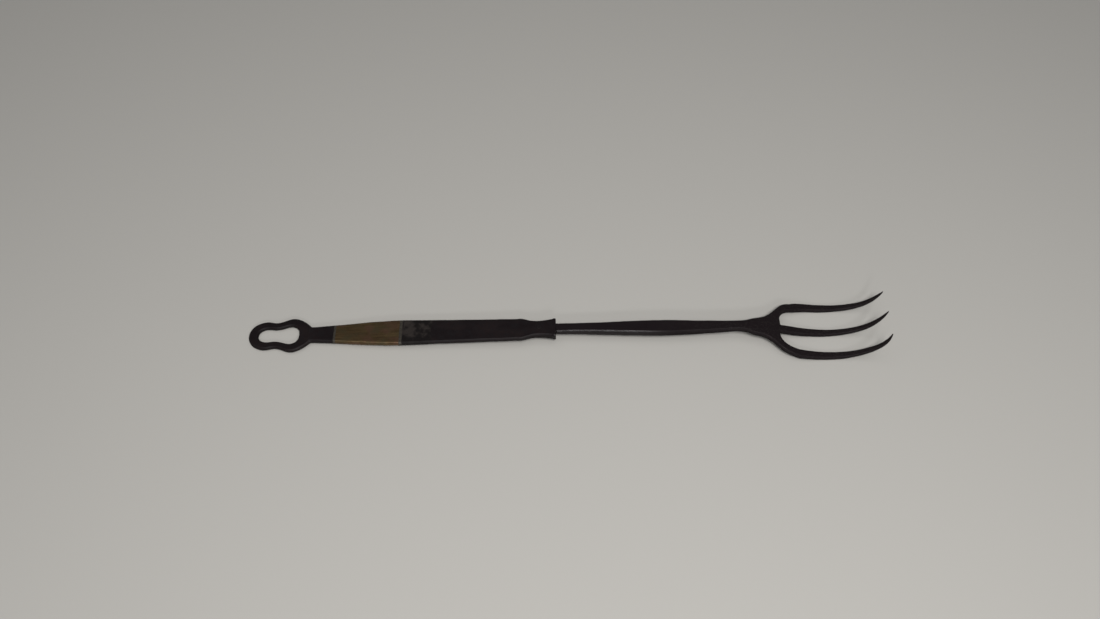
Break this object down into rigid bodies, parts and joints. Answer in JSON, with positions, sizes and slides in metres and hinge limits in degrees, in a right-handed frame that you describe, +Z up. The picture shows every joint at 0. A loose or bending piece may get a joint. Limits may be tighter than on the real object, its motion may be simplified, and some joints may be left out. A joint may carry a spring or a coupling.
{
  "type": "roasting fork",
  "caption": "Hand-forged iron roasting fork with upturned tines, a flat handle wrapped in brass and a closed loop to hang it by.",
  "frame": {"origin": "bottom centre of the box to within about a millimetre: midway along the fork and on its centre line, on the surface it lies on. The outer tines were drawn out a little differently, so the box reaches 2 mm further to the left than to the right", "axes": "+X from the hanging loop to the tines, +Y to the left of someone holding the handle, +Z up"},
  "size_m": [0.4322, 0.0449, 0.028],
  "materials": {
    "forged_iron": "hand-forged wrought iron, blackened and oiled, worn bare on the edges",
    "aged_brass": "old sheet brass, dull and brown with lengthwise rub marks",
    "solder": "dull grey soft solder, smeared and tarnished"
  },
  "bodies": {
    "root": {"hanging_loop": "forged_iron", "handle_bar": "forged_iron", "brass_sleeve": "aged_brass", "rear_solder_band": "solder", "front_solder_band": "solder", "sleeve_seam_solder": "solder", "tang_pin": "forged_iron", "shank": "forged_iron", "left_tine": "forged_iron", "middle_tine": "forged_iron", "right_tine": "forged_iron"}
  },
  "joints": []
}
